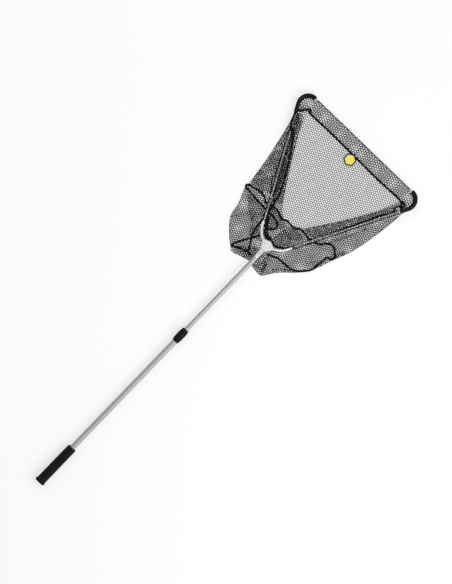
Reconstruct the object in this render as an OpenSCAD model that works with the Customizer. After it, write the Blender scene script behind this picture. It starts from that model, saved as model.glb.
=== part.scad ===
// Landing net: telescopic handle, folding cast hub, two pivoting arms with
// corner tips and a front cord, and a netting bag laid flat under the frame.
// The net lies as it does on a floor: +X runs from the butt to the front cord,
// +Y is the left-hand arm, +Z is up, and z = 0 is the floor.
// The origin is the middle of the outline, on the floor.

/* [Handle] */
// Length of the grip sleeve
grip_l = 179; // [120:1:320]
// Diameter of the grip sleeve at its front end
grip_front_d = 38; // [30:0.5:40]
// Diameter of the grip sleeve at its rear end
grip_rear_d = 39; // [31:0.5:41]
// Length of the rounded butt flange
butt_l = 12; // [8:1:20]
// Diameter of the butt flange, the lowest point of the handle
butt_d = 44; // [41:0.5:50]
// Outside diameter of the outer tube
outer_d = 23; // [22.5:0.5:24]
// Wall of both tubes
tube_wall = 1; // [0.8:0.1:1.3]
// Length of outer tube that shows between the grip and the lock
outer_show = 590; // [420:5:900]
// Outside diameter of the inner tube
inner_d = 19; // [17:0.5:19]
// Length of inner tube that shows when it is drawn right out
inner_show = 402; // [380:1:560]

/* [Twist lock] */
// Length of the whole twist lock
lock_l = 65; // [56:1:90]
// Largest diameter of the lock, where its halves meet
lock_d = 33; // [31:0.5:38]
// Diameter of the lock at both ends
lock_end_d = 27.5; // [27:0.5:30]

/* [Fold joint] */
// Length of the link between the inner tube and the hub
link_l = 35; // [30:1:50]
// Width of the fork
fork_w = 18; // [17:0.5:22]
// Width of the hub's tongue in the fork
tongue_w = 9; // [7:0.5:10]
// Height of the fold pin above the handle's axis
fold_rise = 11; // [10.5:0.5:14]
// Diameter of the fold pin
fold_pin_d = 5; // [4:0.5:6]

/* [Hub] */
// Height of the hub casting
hub_h = 18; // [17:0.5:20]
// How far the hub's nose lies ahead of its centre
hub_nose = 24; // [22:1:32]
// How far the hub's tail lies behind its centre
hub_tail = 21; // [19:1:28]
// Half width of the hub at its shoulders
hub_half_w = 28; // [26:1:34]
// Height of the slot that the arms turn in
slot_h = 9.6; // [9.4:0.1:10.5]
// Diameter of the arms' pivot pins
arm_pin_d = 5; // [4:0.5:6]

/* [Arms] */
// Outside diameter of the arm tubes
arm_d = 9; // [8:0.5:9]
// Wall of the arm tubes
arm_wall = 1.2; // [1:0.1:2]
// Length of the arm's straight run, from its bend to the corner bend
arm_run = 510; // [360:5:640]
// Angle of the straight run from the handle's axis, with the net open
arm_angle = 27.5; // [24:0.5:32]
// Angle at which an arm leaves the hub
arm_root_angle = 66; // [58:1:70]
// Radius of the arm's bend near the hub
arm_bend_r = 88; // [70:1:110]
// Distance of each arm pivot from the handle's axis
arm_pivot_y = 13.5; // [13:0.5:16]

/* [Corner tips] */
// Diameter of the moulded corner tips
tip_d = 17; // [14:0.5:18]
// Radius of the corner bend
tip_bend_r = 41; // [32:1:60]
// Length of arm held in a tip's socket
tip_socket = 37; // [25:1:50]
// Diameter of the front cord
cord_d = 3; // [2:0.5:4]

/* [Bag] */
// Thickness of the flattened netting floor
net_floor_h = 2.5; // [1.5:0.1:4]
// Gap between the folded netting beside the mouth and the corner tips above it
side_drop = 0.8; // [0.3:0.1:3]
// Height of the folded netting under the hub
net_rear_h = 9; // [6:0.1:9.3]
// Depth of the double band behind the front cord
band_depth = 57; // [40:1:80]
// How far the folded netting reaches inside the arms
side_inset = 32; // [24:1:40]
// Width of the binding tape
tape_w = 9; // [6:0.5:14]
// Thickness of the binding tape
tape_t = 1.2; // [0.8:0.1:2]
// Thickness of the netting sleeve round each arm
hem_t = 1; // [0.6:0.1:1.3]
// Badge, corner to corner
badge_d = 52; // [40:1:70]

/* [Clearances] */
// Radial clearance of sliding and turning sleeves
slide_gap = 0.3; // [0.2:0.05:0.4]
// Radial clearance of glued and pressed joints
glue_gap = 0.1; // [0.05:0.05:0.2]
// Radial clearance round hinge pins
pin_gap = 0.05; // [0.02:0.01:0.1]
// Clearance between the soft bag and what lies on it
soft_gap = 0.3; // [0.3:0.1:1]

/* [Hidden] */
$fn = 64;
LEFT = 1;
RIGHT = -1;

// ---- Stations along the handle, measured from the hub's centre ----
link_front_x = -hub_tail - 6;                   // front of the fork's ears
tube_front_x = link_front_x - link_l;           // shoulder of the link, mouth of the inner tube
lock_front_x = tube_front_x - inner_show;
lock_rear_x = lock_front_x - lock_l;
lock_split_x = lock_rear_x + lock_l * 0.5;      // where the base meets the collar
grip_front_x = lock_rear_x - outer_show;
grip_rear_x = grip_front_x - grip_l;
butt_x = grip_rear_x - butt_l;

// ---- Lock, from the inner tube outwards ----
collet_in_r = inner_d / 2 + slide_gap;
collet_t = 1.9;
collet_out_r = collet_in_r + collet_t;
spigot_in_r = collet_out_r + slide_gap;
spigot_t = 1.5;
spigot_l = 17;                                  // threaded spigot inside the collar
collet_l = 30;
collet_rear_x = lock_split_x - 6;
collet_slit = 2;
collar_lip = 6;                                 // closed front end of the collar
outer_front_x = collet_rear_x - slide_gap;      // mouth of the outer tube
split_gap = 0.3;

// ---- Inner tube's foot ----
bush_l = 40;
bush_r = outer_d / 2 - tube_wall - slide_gap;
bush_front_x = outer_front_x - 0.5;             // drawn right out against the collet
foot_x = bush_front_x - bush_l;
foot_lip = 2;

// ---- Fold joint ----
fork_r = 7;
fold_x = link_front_x - fork_r;
tongue_r = 6.5;
tongue_heel = 6;                                // heel's depth below the handle's axis
slot_back_x = fold_x - tongue_r - slide_gap;
link_neck_w = 14;                               // link's width at the tube
link_top = 8.5;
link_bottom = 8;
link_spigot_l = 38;
fold_relief = 2;                                // notch behind the fork, for the tongue's lower edge
rivet_d = 3;
rivet_x = tube_front_x - 13;
ferrule_l = 22;
ferrule_t = 1;
pin_head_h = 1.2;

// ---- Hub ----
hub_r = 6;                                      // corner radius of the casting
hub_bevel = 2.5;
shoulder_x = 8;
tail_half_w = 15;
tail_block_l = 13;                              // solid tail behind the arm slot
spine_w = 8;                                    // web between the two arm eyes
screw_d = 3.5;
screw_head_d = 6.5;
screw_head_h = 2.2;
screw_l = hub_h - 3.5;
screw_spots = [[15, 0], [-14, 8], [-14, -8]];

// ---- Arms: a point at heading a round an arc of radius r is (-r sin a, r cos a) ----
eye_reach = 16;
eye_r = 7.5;
eye_h = slot_h - 2 * slide_gap;
eye_spigot_l = 18;
pivot = [2, arm_pivot_y];
function heading(a) = [cos(a), sin(a)];
function normal(a) = [-sin(a), cos(a)];
root = pivot + eye_reach * heading(arm_root_angle);
bend_c = root - arm_bend_r * normal(arm_root_angle);
run_a = bend_c + arm_bend_r * normal(arm_angle);
run_b = run_a + arm_run * heading(arm_angle);
corner_c = run_b - tip_bend_r * normal(arm_angle);
tip_end_angle = -90;
tip_end = corner_c + tip_bend_r * normal(tip_end_angle);
tip_wall_l = 12;                                // depth of the cord's hole in the tip
tip_nose = 3;
tip_nose_d = 11;
tip_seat = 5;                                   // arm's end stops this far before the bend
knot_d = 5.4;
ring_rise = 0.2;
hem_start = 22;                                 // bare arm ahead of the netting sleeve

// A point beside an arm: s along its straight run, o outwards from it
function beside(s, o) = run_a + s * heading(arm_angle) + o * normal(arm_angle);

// ---- Whole outline and the origin ----
front_x = corner_c.x + tip_bend_r + tip_d / 2;
hub_x = -(front_x + butt_x) / 2;
axis_z = butt_d / 2;
fold_z = axis_z + fold_rise;

// ---- Bag, in the hub's frame, as shares of the arm's straight run ----
cord_x = tip_end.x;
tape_front_x = cord_x - band_depth;
floor_front_x = tape_front_x + tape_w / 2 + 0.5;
side_end = arm_run - 24;
rear_front_x = 140;                             // where the single floor layer starts
rear_back_x = -95;
rear_half_w = 60;
seam = 0.4;                                     // gap between neighbouring bag solids
net_side_h = axis_z - tip_d / 2 - side_drop;    // height of the folded netting beside the mouth
function inset_y(x) = beside((x - run_a.x - side_inset * sin(arm_angle)) / cos(arm_angle), -side_inset).y;
side_join_o = -(run_a.y - rear_half_w) / cos(arm_angle);

// Outline of the folded netting outside each arm: [share of the run, offset]
SIDE_LEFT = [[0.95, 4], [0.84, 14], [0.74, 32], [0.55, 55], [0.29, 97], [0.11, 114], [0, 128]];
SIDE_RIGHT = [[0.95, 4], [0.86, 25], [0.74, 50], [0.49, 86], [0.32, 96], [0.16, 106], [0, 103]];
// Rest of each rear lobe, in the hub's frame, with y outwards
LOBE_LEFT = [[-68, 141], [-108, 86], [-100, 60]];
LOBE_RIGHT = [[-37, 112], [-99, 66], [-99, 60]];
// Seam tapes on the lobes, in the hub's frame, with y outwards
SEAM_LEFT = [[42, 74], [-5, 76], [-92, 100], [-74, 42]];
SEAM_RIGHT = [[-18, 34], [-4, 65], [-2, 129]];

// ---- Shared shapes ----
// Moves hub-frame shapes into the part's frame
module at_hub(z = axis_z) {
    translate([hub_x, 0, z]) children();
}

// Makes a left-hand shape into the chosen side's
module on_side(side) {
    mirror([0, side == LEFT ? 0 : 1, 0]) children();
}

// Turns an outline of [radius, x] points about the handle's axis
module turned(points) {
    rotate([0, 90, 0]) rotate_extrude() polygon(points);
}

module x_cylinder(x, l, r) {
    translate([x, 0, 0]) rotate([0, 90, 0]) cylinder(h = l, r = r);
}

module x_tube(x, l, r_out, r_in) {
    difference() {
        x_cylinder(x, l, r_out);
        x_cylinder(x - 1, l + 2, r_in);
    }
}

// A straight rod that starts at a point in the frame's plane
module rod(start, angle, l, d) {
    translate([start.x, start.y, 0]) rotate([0, 0, angle]) rotate([0, 90, 0]) cylinder(h = l, d = d);
}

// A rod bent round centre c, from heading a1 down to heading a2
module bent_rod(c, r, a1, a2, d) {
    translate([c.x, c.y, 0])
        rotate([0, 0, a2 + 90])
            rotate_extrude(angle = a1 - a2)
                translate([r, 0]) circle(d = d);
}

// Shallow ring that ties a bend to the straight beside it
module tie_ring(p, angle, d) {
    translate([p.x, p.y, 0]) rotate([0, 0, angle]) rotate([0, 90, 0])
        cylinder(h = 1, d = d, center = true);
}

// A flat slab of height h from z = 0 over an outline
module slab(points, h) {
    linear_extrude(h) polygon(points);
}

// A flat tape along a route, standing z high
module tape_along(route, z) {
    translate([0, 0, z]) linear_extrude(tape_t) {
        for (i = [0 : len(route) - 2]) {
            way = route[i + 1] - route[i];
            translate(route[i]) rotate(atan2(way.y, way.x)) translate([0, -tape_w / 2])
                square([norm(way), tape_w]);
        }
        for (i = [1 : 1 : len(route) - 2]) translate(route[i]) circle(d = tape_w + 0.2);
    }
}

// ---- Handle ----
module outer_tube() {
    color("silver") at_hub()
        x_tube(grip_rear_x + 2, outer_front_x - grip_rear_x - 2, outer_d / 2, outer_d / 2 - tube_wall);
}

module grip_sleeve() {
    bore = outer_d / 2 + glue_gap;
    round_r = 2;
    color([0.1, 0.1, 0.1]) at_hub() turned([
        [bore, grip_rear_x],
        [grip_rear_d / 2, grip_rear_x],
        [grip_front_d / 2, grip_front_x - round_r],
        [grip_front_d / 2 - round_r / 2, grip_front_x - round_r / 3],
        [grip_front_d / 2 - round_r, grip_front_x],
        [bore, grip_front_x]
    ]);
}

module butt_cap() {
    r = butt_d / 2;
    edge = 3;
    color([0.08, 0.08, 0.08]) at_hub() turned([
        [0, butt_x],
        [r - edge, butt_x],
        [r - edge / 3, butt_x + edge / 3],
        [r, butt_x + edge],
        [r, grip_rear_x - edge],
        [grip_rear_d / 2, grip_rear_x],
        [0, grip_rear_x]
    ]);
}

module tube_plug() {
    color("dimgray") at_hub()
        x_cylinder(grip_rear_x, 26, outer_d / 2 - tube_wall - glue_gap);
}

// ---- Twist lock ----
module lock_base() {
    bore = outer_d / 2 + glue_gap;
    color([0.1, 0.1, 0.1]) at_hub() turned([
        [bore, lock_rear_x],
        [lock_end_d / 2 - 1, lock_rear_x],
        [lock_end_d / 2, lock_rear_x + 2],
        [lock_d / 2 - 0.8, lock_split_x - 8],
        [lock_d / 2, lock_split_x - 3],
        [lock_d / 2, lock_split_x - split_gap],
        [spigot_in_r + spigot_t, lock_split_x - split_gap],
        [spigot_in_r + spigot_t, lock_split_x + spigot_l],
        [spigot_in_r, lock_split_x + spigot_l],
        [spigot_in_r, collet_rear_x - slide_gap],
        [bore, collet_rear_x - slide_gap]
    ]);
}

module lock_collet() {
    color([0.9, 0.9, 0.88]) at_hub() difference() {
        x_tube(collet_rear_x, collet_l, collet_out_r, collet_in_r);
        translate([collet_rear_x - 1, -collet_slit / 2, 0]) cube([collet_l + 2, collet_slit, collet_out_r + 1]);
    }
}

module lock_collar() {
    wide = spigot_in_r + spigot_t + slide_gap;
    seat_x = lock_front_x - collar_lip;
    color([0.1, 0.1, 0.1]) at_hub() turned([
        [wide, lock_split_x],
        [lock_d / 2, lock_split_x],
        [lock_d / 2, lock_split_x + 3],
        [lock_d / 2 - 0.8, lock_split_x + 8],
        [lock_end_d / 2, lock_front_x - 2],
        [lock_end_d / 2 - 1, lock_front_x],
        [collet_in_r, lock_front_x],
        [collet_in_r, seat_x],
        [spigot_in_r, seat_x],
        [spigot_in_r, lock_split_x + spigot_l + 1],
        [wide, lock_split_x + spigot_l + 1]
    ]);
}

// ---- Inner tube ----
module inner_tube() {
    color("gainsboro") at_hub() difference() {
        x_tube(foot_x, tube_front_x - foot_x, inner_d / 2, inner_d / 2 - tube_wall);
        translate([rivet_x, 0, 0]) rotate([90, 0, 0])
            cylinder(h = inner_d + 2, d = rivet_d + 2 * glue_gap, center = true);
    }
}

module foot_bush() {
    in_r = inner_d / 2 + glue_gap;
    color("dimgray") at_hub() turned([
        [in_r - tube_wall - 1, foot_x - foot_lip],
        [bush_r, foot_x - foot_lip],
        [bush_r, bush_front_x],
        [in_r, bush_front_x],
        [in_r, foot_x - glue_gap],
        [in_r - tube_wall - 1, foot_x - glue_gap]
    ]);
}

module tube_ferrule() {
    in_r = inner_d / 2 + glue_gap;
    color("whitesmoke") at_hub() difference() {
        x_tube(tube_front_x - ferrule_l, ferrule_l, in_r + ferrule_t, in_r);
        translate([rivet_x, 0, 0]) rotate([90, 0, 0])
            cylinder(h = inner_d * 2, d = rivet_d + 2 * glue_gap, center = true);
    }
}

// ---- Fold joint ----
module fold_link() {
    spigot_r = inner_d / 2 - tube_wall - glue_gap;
    color("whitesmoke") at_hub() difference() {
        union() {
            intersection() {
                translate([0, 0, -link_bottom]) linear_extrude(link_bottom + fold_rise + fork_r) polygon([
                    [tube_front_x, -link_neck_w / 2],
                    [slot_back_x - 3, -fork_w / 2],
                    [link_front_x, -fork_w / 2],
                    [link_front_x, fork_w / 2],
                    [slot_back_x - 3, fork_w / 2],
                    [tube_front_x, link_neck_w / 2]
                ]);
                rotate([90, 0, 0]) linear_extrude(fork_w, center = true) {
                    translate([fold_x, fold_rise]) circle(r = fork_r);
                    polygon([
                        [tube_front_x, -link_bottom + 2],
                        [slot_back_x - 3, -link_bottom],
                        [fold_x, -link_bottom],
                        [link_front_x, -link_bottom + 4],
                        [link_front_x, fold_rise],
                        [fold_x - fork_r, fold_rise],
                        [slot_back_x - 3, link_top],
                        [tube_front_x, link_top - 2]
                    ]);
                }
            }
            x_cylinder(tube_front_x - link_spigot_l, link_spigot_l + 4, spigot_r);
        }
        translate([slot_back_x, -tongue_w / 2 - slide_gap, -link_bottom - 1])
            cube([link_front_x - slot_back_x + 1, tongue_w + 2 * slide_gap, link_bottom + fold_rise + fork_r + 2]);
        // Relief behind the fork, so that the tongue clears the link when the head is folded right back
        translate([slot_back_x - fold_relief, -tongue_w / 2 - slide_gap, link_top - 1])
            cube([fold_relief + 1, tongue_w + 2 * slide_gap, fold_rise + fork_r]);
        translate([fold_x, 0, fold_rise]) rotate([90, 0, 0])
            cylinder(h = fork_w + 2, d = fold_pin_d, center = true);
        translate([rivet_x, 0, 0]) rotate([90, 0, 0])
            cylinder(h = inner_d + 2, d = rivet_d + 2 * glue_gap, center = true);
    }
}

module link_rivet() {
    head_y = inner_d / 2 + glue_gap + ferrule_t;
    color("gray") at_hub() translate([rivet_x, 0, 0]) rotate([90, 0, 0]) {
        cylinder(h = 2 * head_y + 0.4, d = rivet_d, center = true);
        for (side = [LEFT, RIGHT])
            mirror([0, 0, side == LEFT ? 0 : 1]) translate([0, 0, head_y + 0.2]) cylinder(h = 0.8, d = rivet_d + 2);
    }
}

module fold_pin() {
    color("gray") at_hub(fold_z) translate([fold_x, 0, 0]) rotate([90, 0, 0]) {
        cylinder(h = fork_w, d = fold_pin_d, center = true);
        for (side = [LEFT, RIGHT])
            mirror([0, 0, side == LEFT ? 0 : 1]) translate([0, 0, fork_w / 2])
                cylinder(h = pin_head_h, d1 = fold_pin_d + 4, d2 = fold_pin_d + 2);
    }
}

// ---- Hub ----
module hub_outline(grow = 0) {
    r = hub_r + grow;
    hull() {
        translate([hub_nose - hub_r, 0]) circle(r = r, $fn = 32);
        for (side = [LEFT, RIGHT]) {
            translate([shoulder_x, side * (hub_half_w - hub_r)]) circle(r = r, $fn = 32);
            translate([hub_r - hub_tail, side * (tail_half_w - hub_r)]) circle(r = r, $fn = 32);
        }
    }
}

// Bevelled half of the casting, with its outer face at z = top
module hub_shell(thick) {
    hull() {
        linear_extrude(thick - hub_bevel) hub_outline();
        linear_extrude(thick) hub_outline(-hub_bevel);
    }
}

module pin_holes(d) {
    for (side = [LEFT, RIGHT])
        translate([pivot.x, side * pivot.y, 0]) cylinder(h = hub_h + 2, d = d, center = true);
}

module hub_base() {
    plate = (hub_h - slot_h) / 2;
    cover_z = slot_h / 2;
    color("whitesmoke") at_hub() difference() {
        union() {
            translate([0, 0, -cover_z]) mirror([0, 0, 1]) hub_shell(plate);
            intersection() {
                translate([0, 0, -cover_z]) linear_extrude(slot_h) hub_outline(-0.5);
                union() {
                    translate([-hub_tail, -hub_half_w, -hub_h])
                        cube([tail_block_l, 2 * hub_half_w, 2 * hub_h]);
                    translate([-hub_tail, -spine_w / 2, -hub_h])
                        cube([hub_tail + hub_nose, spine_w, 2 * hub_h]);
                }
            }
            hub_tongue();
        }
        pin_holes(arm_pin_d + 2 * glue_gap);
        for (p = screw_spots) translate([p.x, p.y, 0]) {
            cylinder(h = hub_h * 2, d = screw_d + 2 * glue_gap, center = true);
            translate([0, 0, -hub_h / 2 - 1])
                cylinder(h = screw_head_h + 1 + glue_gap, d = screw_head_d + 2 * glue_gap);
        }
        translate([fold_x, 0, fold_rise]) rotate([90, 0, 0])
            cylinder(h = tongue_w + 2, d = fold_pin_d + 2 * pin_gap, center = true);
    }
}

// Tongue from the hub's tail up to the fold pin; its heel stops the fold at straight
module hub_tongue() {
    block_x = 6 - hub_tail;
    rotate([90, 0, 0]) linear_extrude(tongue_w, center = true) {
        translate([fold_x, fold_rise]) circle(r = tongue_r);
        polygon([
            [block_x, -tongue_heel],
            [block_x, slot_h / 2],
            [-hub_tail - slide_gap, slot_h / 2],
            [fold_x + 3, fold_rise + tongue_r - 0.8],
            [fold_x - tongue_r, fold_rise],
            [fold_x - tongue_r, -tongue_heel]
        ]);
    }
}

module hub_cover() {
    plate = (hub_h - slot_h) / 2;
    color("whitesmoke") at_hub(axis_z + slot_h / 2) difference() {
        hub_shell(plate);
        pin_holes(arm_pin_d + 2 * glue_gap);
        for (p = screw_spots) translate([p.x, p.y, -1])
            cylinder(h = screw_l - hub_h / 2 - slot_h / 2 + 1 + glue_gap, d = screw_d + 2 * glue_gap);
    }
}

module hub_screws() {
    color("gray") at_hub(axis_z - hub_h / 2) for (p = screw_spots) translate([p.x, p.y, 0]) difference() {
        union() {
            cylinder(h = screw_head_h, d = screw_head_d);
            cylinder(h = screw_l, d = screw_d);
        }
        translate([-0.5, -screw_head_d / 2, -1]) cube([1, screw_head_d, 2]);
    }
}

module arm_pins() {
    color("gray") at_hub() for (side = [LEFT, RIGHT])
        translate([pivot.x, side * pivot.y, 0]) cylinder(h = hub_h, d = arm_pin_d, center = true);
}

// ---- Arms ----
module arm(side) {
    tube_in = arm_d - 2 * arm_wall;
    color("white") at_hub() on_side(side) difference() {
        union() {
            bent_rod(bend_c, arm_bend_r, arm_root_angle, arm_angle, arm_d);
            rod(run_a, arm_angle, arm_run - tip_seat, arm_d);
            tie_ring(run_a, arm_angle, arm_d + ring_rise);
        }
        bent_rod(bend_c, arm_bend_r, arm_root_angle, arm_angle, tube_in);
        rod(run_a, arm_angle, arm_run, tube_in);
        tie_ring(run_a, arm_angle, tube_in - ring_rise);
    }
}

// Pressed eye that closes the arm's root and turns on the pivot pin
module arm_eye(side) {
    color("gainsboro") at_hub() on_side(side) difference() {
        union() {
            translate([pivot.x, pivot.y, 0]) cylinder(h = eye_h, r = eye_r, center = true);
            rod(pivot, arm_root_angle, eye_reach, arm_d);
            bent_rod(bend_c, arm_bend_r, arm_root_angle, arm_root_angle - eye_spigot_l / arm_bend_r * 180 / PI,
                arm_d - 2 * arm_wall - 2 * glue_gap);
        }
        translate([pivot.x, pivot.y, 0]) cylinder(h = hub_h, d = arm_pin_d + 2 * pin_gap, center = true);
    }
}

// Moulded corner: socket on the arm, quarter bend, and a nose that the cord runs out of
module corner_tip(side) {
    back = tip_end_angle + 180;
    color([0.07, 0.07, 0.07]) at_hub() on_side(side) difference() {
        union() {
            rod(beside(arm_run - tip_socket, 0), arm_angle, tip_socket, tip_d);
            bent_rod(corner_c, tip_bend_r, arm_angle, tip_end_angle, tip_d);
            tie_ring(run_b, arm_angle, tip_d + ring_rise);
            translate([tip_end.x, tip_end.y, 0]) rotate([0, 0, tip_end_angle]) rotate([0, 90, 0])
                cylinder(h = tip_nose, d1 = tip_d, d2 = tip_nose_d);
        }
        rod(beside(arm_run - tip_socket - 1, 0), arm_angle, tip_socket + 1 - tip_seat + glue_gap, arm_d + 2 * glue_gap);
        rod(tip_end + tip_wall_l * heading(back), tip_end_angle, tip_wall_l + tip_nose + 1, cord_d + 2 * slide_gap);
        knot_place() sphere(d = knot_d + 2 * slide_gap);
    }
}

// Where the cord's knot sits, inside the tip
module knot_place() {
    p = tip_end + tip_wall_l * heading(tip_end_angle + 180);
    translate([p.x, p.y, 0]) children();
}

module cord_knot(side) {
    color([0.1, 0.1, 0.1]) at_hub() on_side(side) knot_place() sphere(d = knot_d);
}

module hem(side) {
    in_d = arm_d + 2 * soft_gap;
    color([0.2, 0.2, 0.2]) at_hub() on_side(side) difference() {
        rod(beside(hem_start, 0), arm_angle, arm_run - tip_socket - hem_start - 1, in_d + 2 * hem_t);
        rod(beside(hem_start - 1, 0), arm_angle, arm_run - tip_socket - hem_start + 1, in_d);
    }
}

// Cord from one tip's nose to the other, ending just short of each knot
module front_cord() {
    reach = tip_end.y + tip_wall_l - knot_d / 2 - soft_gap;
    color([0.1, 0.1, 0.1]) at_hub() translate([cord_x, 0, 0]) rotate([90, 0, 0])
        cylinder(h = 2 * reach, d = cord_d, center = true);
}

// ---- Bag ----
function both_sides(half) = concat(half, [for (i = [len(half) - 1 : -1 : 0]) [half[i].x, -half[i].y]]);

module net_floor() {
    back_x = rear_front_x + seam;
    color([0.55, 0.55, 0.55]) at_hub(0) slab(both_sides([
        [back_x, inset_y(back_x) - seam],
        [floor_front_x, inset_y(floor_front_x) - seam]
    ]), net_floor_h);
}

module net_front() {
    back_x = floor_front_x + seam;
    front = cord_x - cord_d / 2 - 3;
    half_w = tip_end.y - tip_nose - 12;
    color([0.3, 0.3, 0.3]) at_hub(0) rotate([90, 0, 0]) linear_extrude(2 * half_w, center = true) polygon([
        [back_x, 0],
        [front - 12, 0],
        [front, axis_z / 2],
        [front, axis_z - cord_d / 2 - 1],
        [back_x, net_floor_h]
    ]);
}

module net_rear() {
    color([0.35, 0.35, 0.35]) at_hub(0) slab(both_sides([
        [rear_back_x, rear_half_w - seam],
        [beside(0, side_join_o).x - seam, rear_half_w - seam],
        beside(0.12 * arm_run, -side_inset - 1.5 * seam),
        [rear_front_x, inset_y(rear_front_x) - seam]
    ]), net_rear_h);
}

module net_side(side, outline) {
    color([0.25, 0.25, 0.25]) at_hub(0) on_side(side) slab(concat(
        [beside(seam, side_join_o), beside(0.12 * arm_run, -side_inset), beside(side_end, -side_inset)],
        [for (p = outline) beside(max(p[0] * arm_run, seam), p[1])]
    ), net_side_h);
}

module net_lobe(side, outline, join) {
    color([0.3, 0.3, 0.3]) at_hub(0) on_side(side)
        slab(concat([beside(0, side_join_o), beside(0, join)], outline), net_rear_h);
}

module tape_front() {
    half_w = inset_y(tape_front_x) - tape_w;
    color([0.08, 0.08, 0.08]) at_hub(0)
        tape_along([[tape_front_x, -half_w], [tape_front_x, half_w]], net_floor_h + soft_gap);
}

module tape_rear() {
    x = rear_front_x - 12;
    half_w = inset_y(x) - tape_w;
    color([0.08, 0.08, 0.08]) at_hub(0) tape_along([[x, -half_w], [x, half_w]], net_rear_h + soft_gap);
}

module side_tape(side) {
    o = -side_inset + tape_w;
    color([0.08, 0.08, 0.08]) at_hub(0) on_side(side)
        tape_along([beside(0.12 * arm_run, o), beside(side_end - tape_w, o)], net_side_h + soft_gap);
}

module seam_tape(side, route) {
    color([0.08, 0.08, 0.08]) at_hub(0) on_side(side) tape_along(route, net_rear_h + soft_gap);
}

// ---- Badge, resting on the front tape ----
badge_rim_t = 1.2;
badge_face_t = 0.8;
badge_z = net_floor_h + tape_t + 2 * soft_gap;
badge_x = tape_front_x + 3 - badge_d / 2;
badge_border = 3.5;

module badge_rim() {
    color([0.15, 0.14, 0.05]) at_hub(badge_z) translate([badge_x, 0, 0]) cylinder(h = badge_rim_t, d = badge_d, $fn = 6);
}

module badge_face() {
    color("gold") at_hub(badge_z + badge_rim_t) translate([badge_x, 0, 0])
        cylinder(h = badge_face_t, d = badge_d - 2 * badge_border, $fn = 6);
}

outer_tube();
grip_sleeve();
butt_cap();
tube_plug();
lock_base();
lock_collet();
lock_collar();
inner_tube();
foot_bush();
tube_ferrule();
fold_link();
link_rivet();
fold_pin();
hub_base();
hub_cover();
hub_screws();
arm_pins();
arm(LEFT);  // arm_left
arm_eye(LEFT);  // arm_eye_left
corner_tip(LEFT);  // corner_tip_left
cord_knot(LEFT);  // cord_knot_left
hem(LEFT);  // hem_left
arm(RIGHT);  // arm_right
arm_eye(RIGHT);  // arm_eye_right
corner_tip(RIGHT);  // corner_tip_right
cord_knot(RIGHT);  // cord_knot_right
hem(RIGHT);  // hem_right
front_cord();
net_floor();
net_front();
net_rear();
net_side(LEFT, SIDE_LEFT);  // net_side_left
net_lobe(LEFT, LOBE_LEFT, SIDE_LEFT[len(SIDE_LEFT) - 1][1]);  // net_lobe_left
net_side(RIGHT, SIDE_RIGHT);  // net_side_right
net_lobe(RIGHT, LOBE_RIGHT, SIDE_RIGHT[len(SIDE_RIGHT) - 1][1]);  // net_lobe_right
tape_front();
tape_rear();
side_tape(LEFT);  // tape_left
side_tape(RIGHT);  // tape_right
seam_tape(LEFT, SEAM_LEFT);  // seam_tape_left
seam_tape(RIGHT, SEAM_RIGHT);  // seam_tape_right
badge_rim();
badge_face();
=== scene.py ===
"""Landing net: the looks of a folding landing net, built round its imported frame.

Sizes in this file are millimetres in the hub's frame unless a name says otherwise: x runs
forward along the handle from the hub's centre, y to the left-hand arm, z up from the floor.
"""

import math

import bmesh
import bpy
import numpy as np
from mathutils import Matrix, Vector


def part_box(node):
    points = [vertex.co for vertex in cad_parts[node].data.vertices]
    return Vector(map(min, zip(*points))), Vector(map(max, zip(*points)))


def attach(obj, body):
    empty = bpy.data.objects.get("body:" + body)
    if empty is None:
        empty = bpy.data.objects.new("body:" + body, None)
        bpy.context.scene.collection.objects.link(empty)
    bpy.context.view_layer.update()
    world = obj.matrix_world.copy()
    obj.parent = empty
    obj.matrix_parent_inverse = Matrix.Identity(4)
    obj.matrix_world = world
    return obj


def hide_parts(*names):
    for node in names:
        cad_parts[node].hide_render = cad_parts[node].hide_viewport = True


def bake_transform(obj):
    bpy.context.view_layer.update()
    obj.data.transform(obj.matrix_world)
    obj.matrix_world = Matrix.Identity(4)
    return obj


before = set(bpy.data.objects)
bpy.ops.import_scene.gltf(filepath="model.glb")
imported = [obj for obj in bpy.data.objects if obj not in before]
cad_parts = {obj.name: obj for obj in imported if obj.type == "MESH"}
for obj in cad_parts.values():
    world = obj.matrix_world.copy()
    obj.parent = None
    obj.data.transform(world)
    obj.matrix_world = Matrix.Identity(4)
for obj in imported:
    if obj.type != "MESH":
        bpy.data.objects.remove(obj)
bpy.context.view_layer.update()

bl_info = {
    "name": "Landing Net",
    "version": (1, 0, 0),
    "blender": (4, 5, 0),
    "location": "View3D > Sidebar > Landing Net",
    "description": "Builds the netting, tapes, badge and finishes of a folding landing net",
    "category": "Add Mesh",
}

# ---- The frame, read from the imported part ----
MM = 0.001
LEFT, RIGHT = 1, -1
SIDES = {LEFT: "left", RIGHT: "right"}
PIVOT = np.array([2.0, 13.5])
_pins_low, _pins_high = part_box("arm_pins")
HUB_X_M = (_pins_low[0] + _pins_high[0]) / 2 - PIVOT[0] * MM
AXIS_Z = (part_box("outer_tube")[0][2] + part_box("outer_tube")[1][2]) / 2 / MM
CORD_X = ((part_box("front_cord")[0][0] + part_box("front_cord")[1][0]) / 2 - HUB_X_M) / MM
CORD_D = (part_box("front_cord")[1][2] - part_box("front_cord")[0][2]) / MM
CORD_END_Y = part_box("front_cord")[1][1] / MM
TAPE_FRONT_X = ((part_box("tape_front")[0][0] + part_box("tape_front")[1][0]) / 2 - HUB_X_M) / MM

# ---- The arms' line, as the tubes are bent ----
ARM_ANGLE = math.radians(27.5)
ROOT_ANGLE = math.radians(66)
EYE_REACH = 16.0
ARM_BEND_R = 88.0
ARM_D = 9.0
ARM_RUN = 510.0
BARE_ARM = 22.0
TIP_BEND_R = 41.0
TIP_SOCKET = 37.0


def heading(angle):
    return np.array([math.cos(angle), math.sin(angle)])


def normal(angle):
    return np.array([-math.sin(angle), math.cos(angle)])


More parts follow.
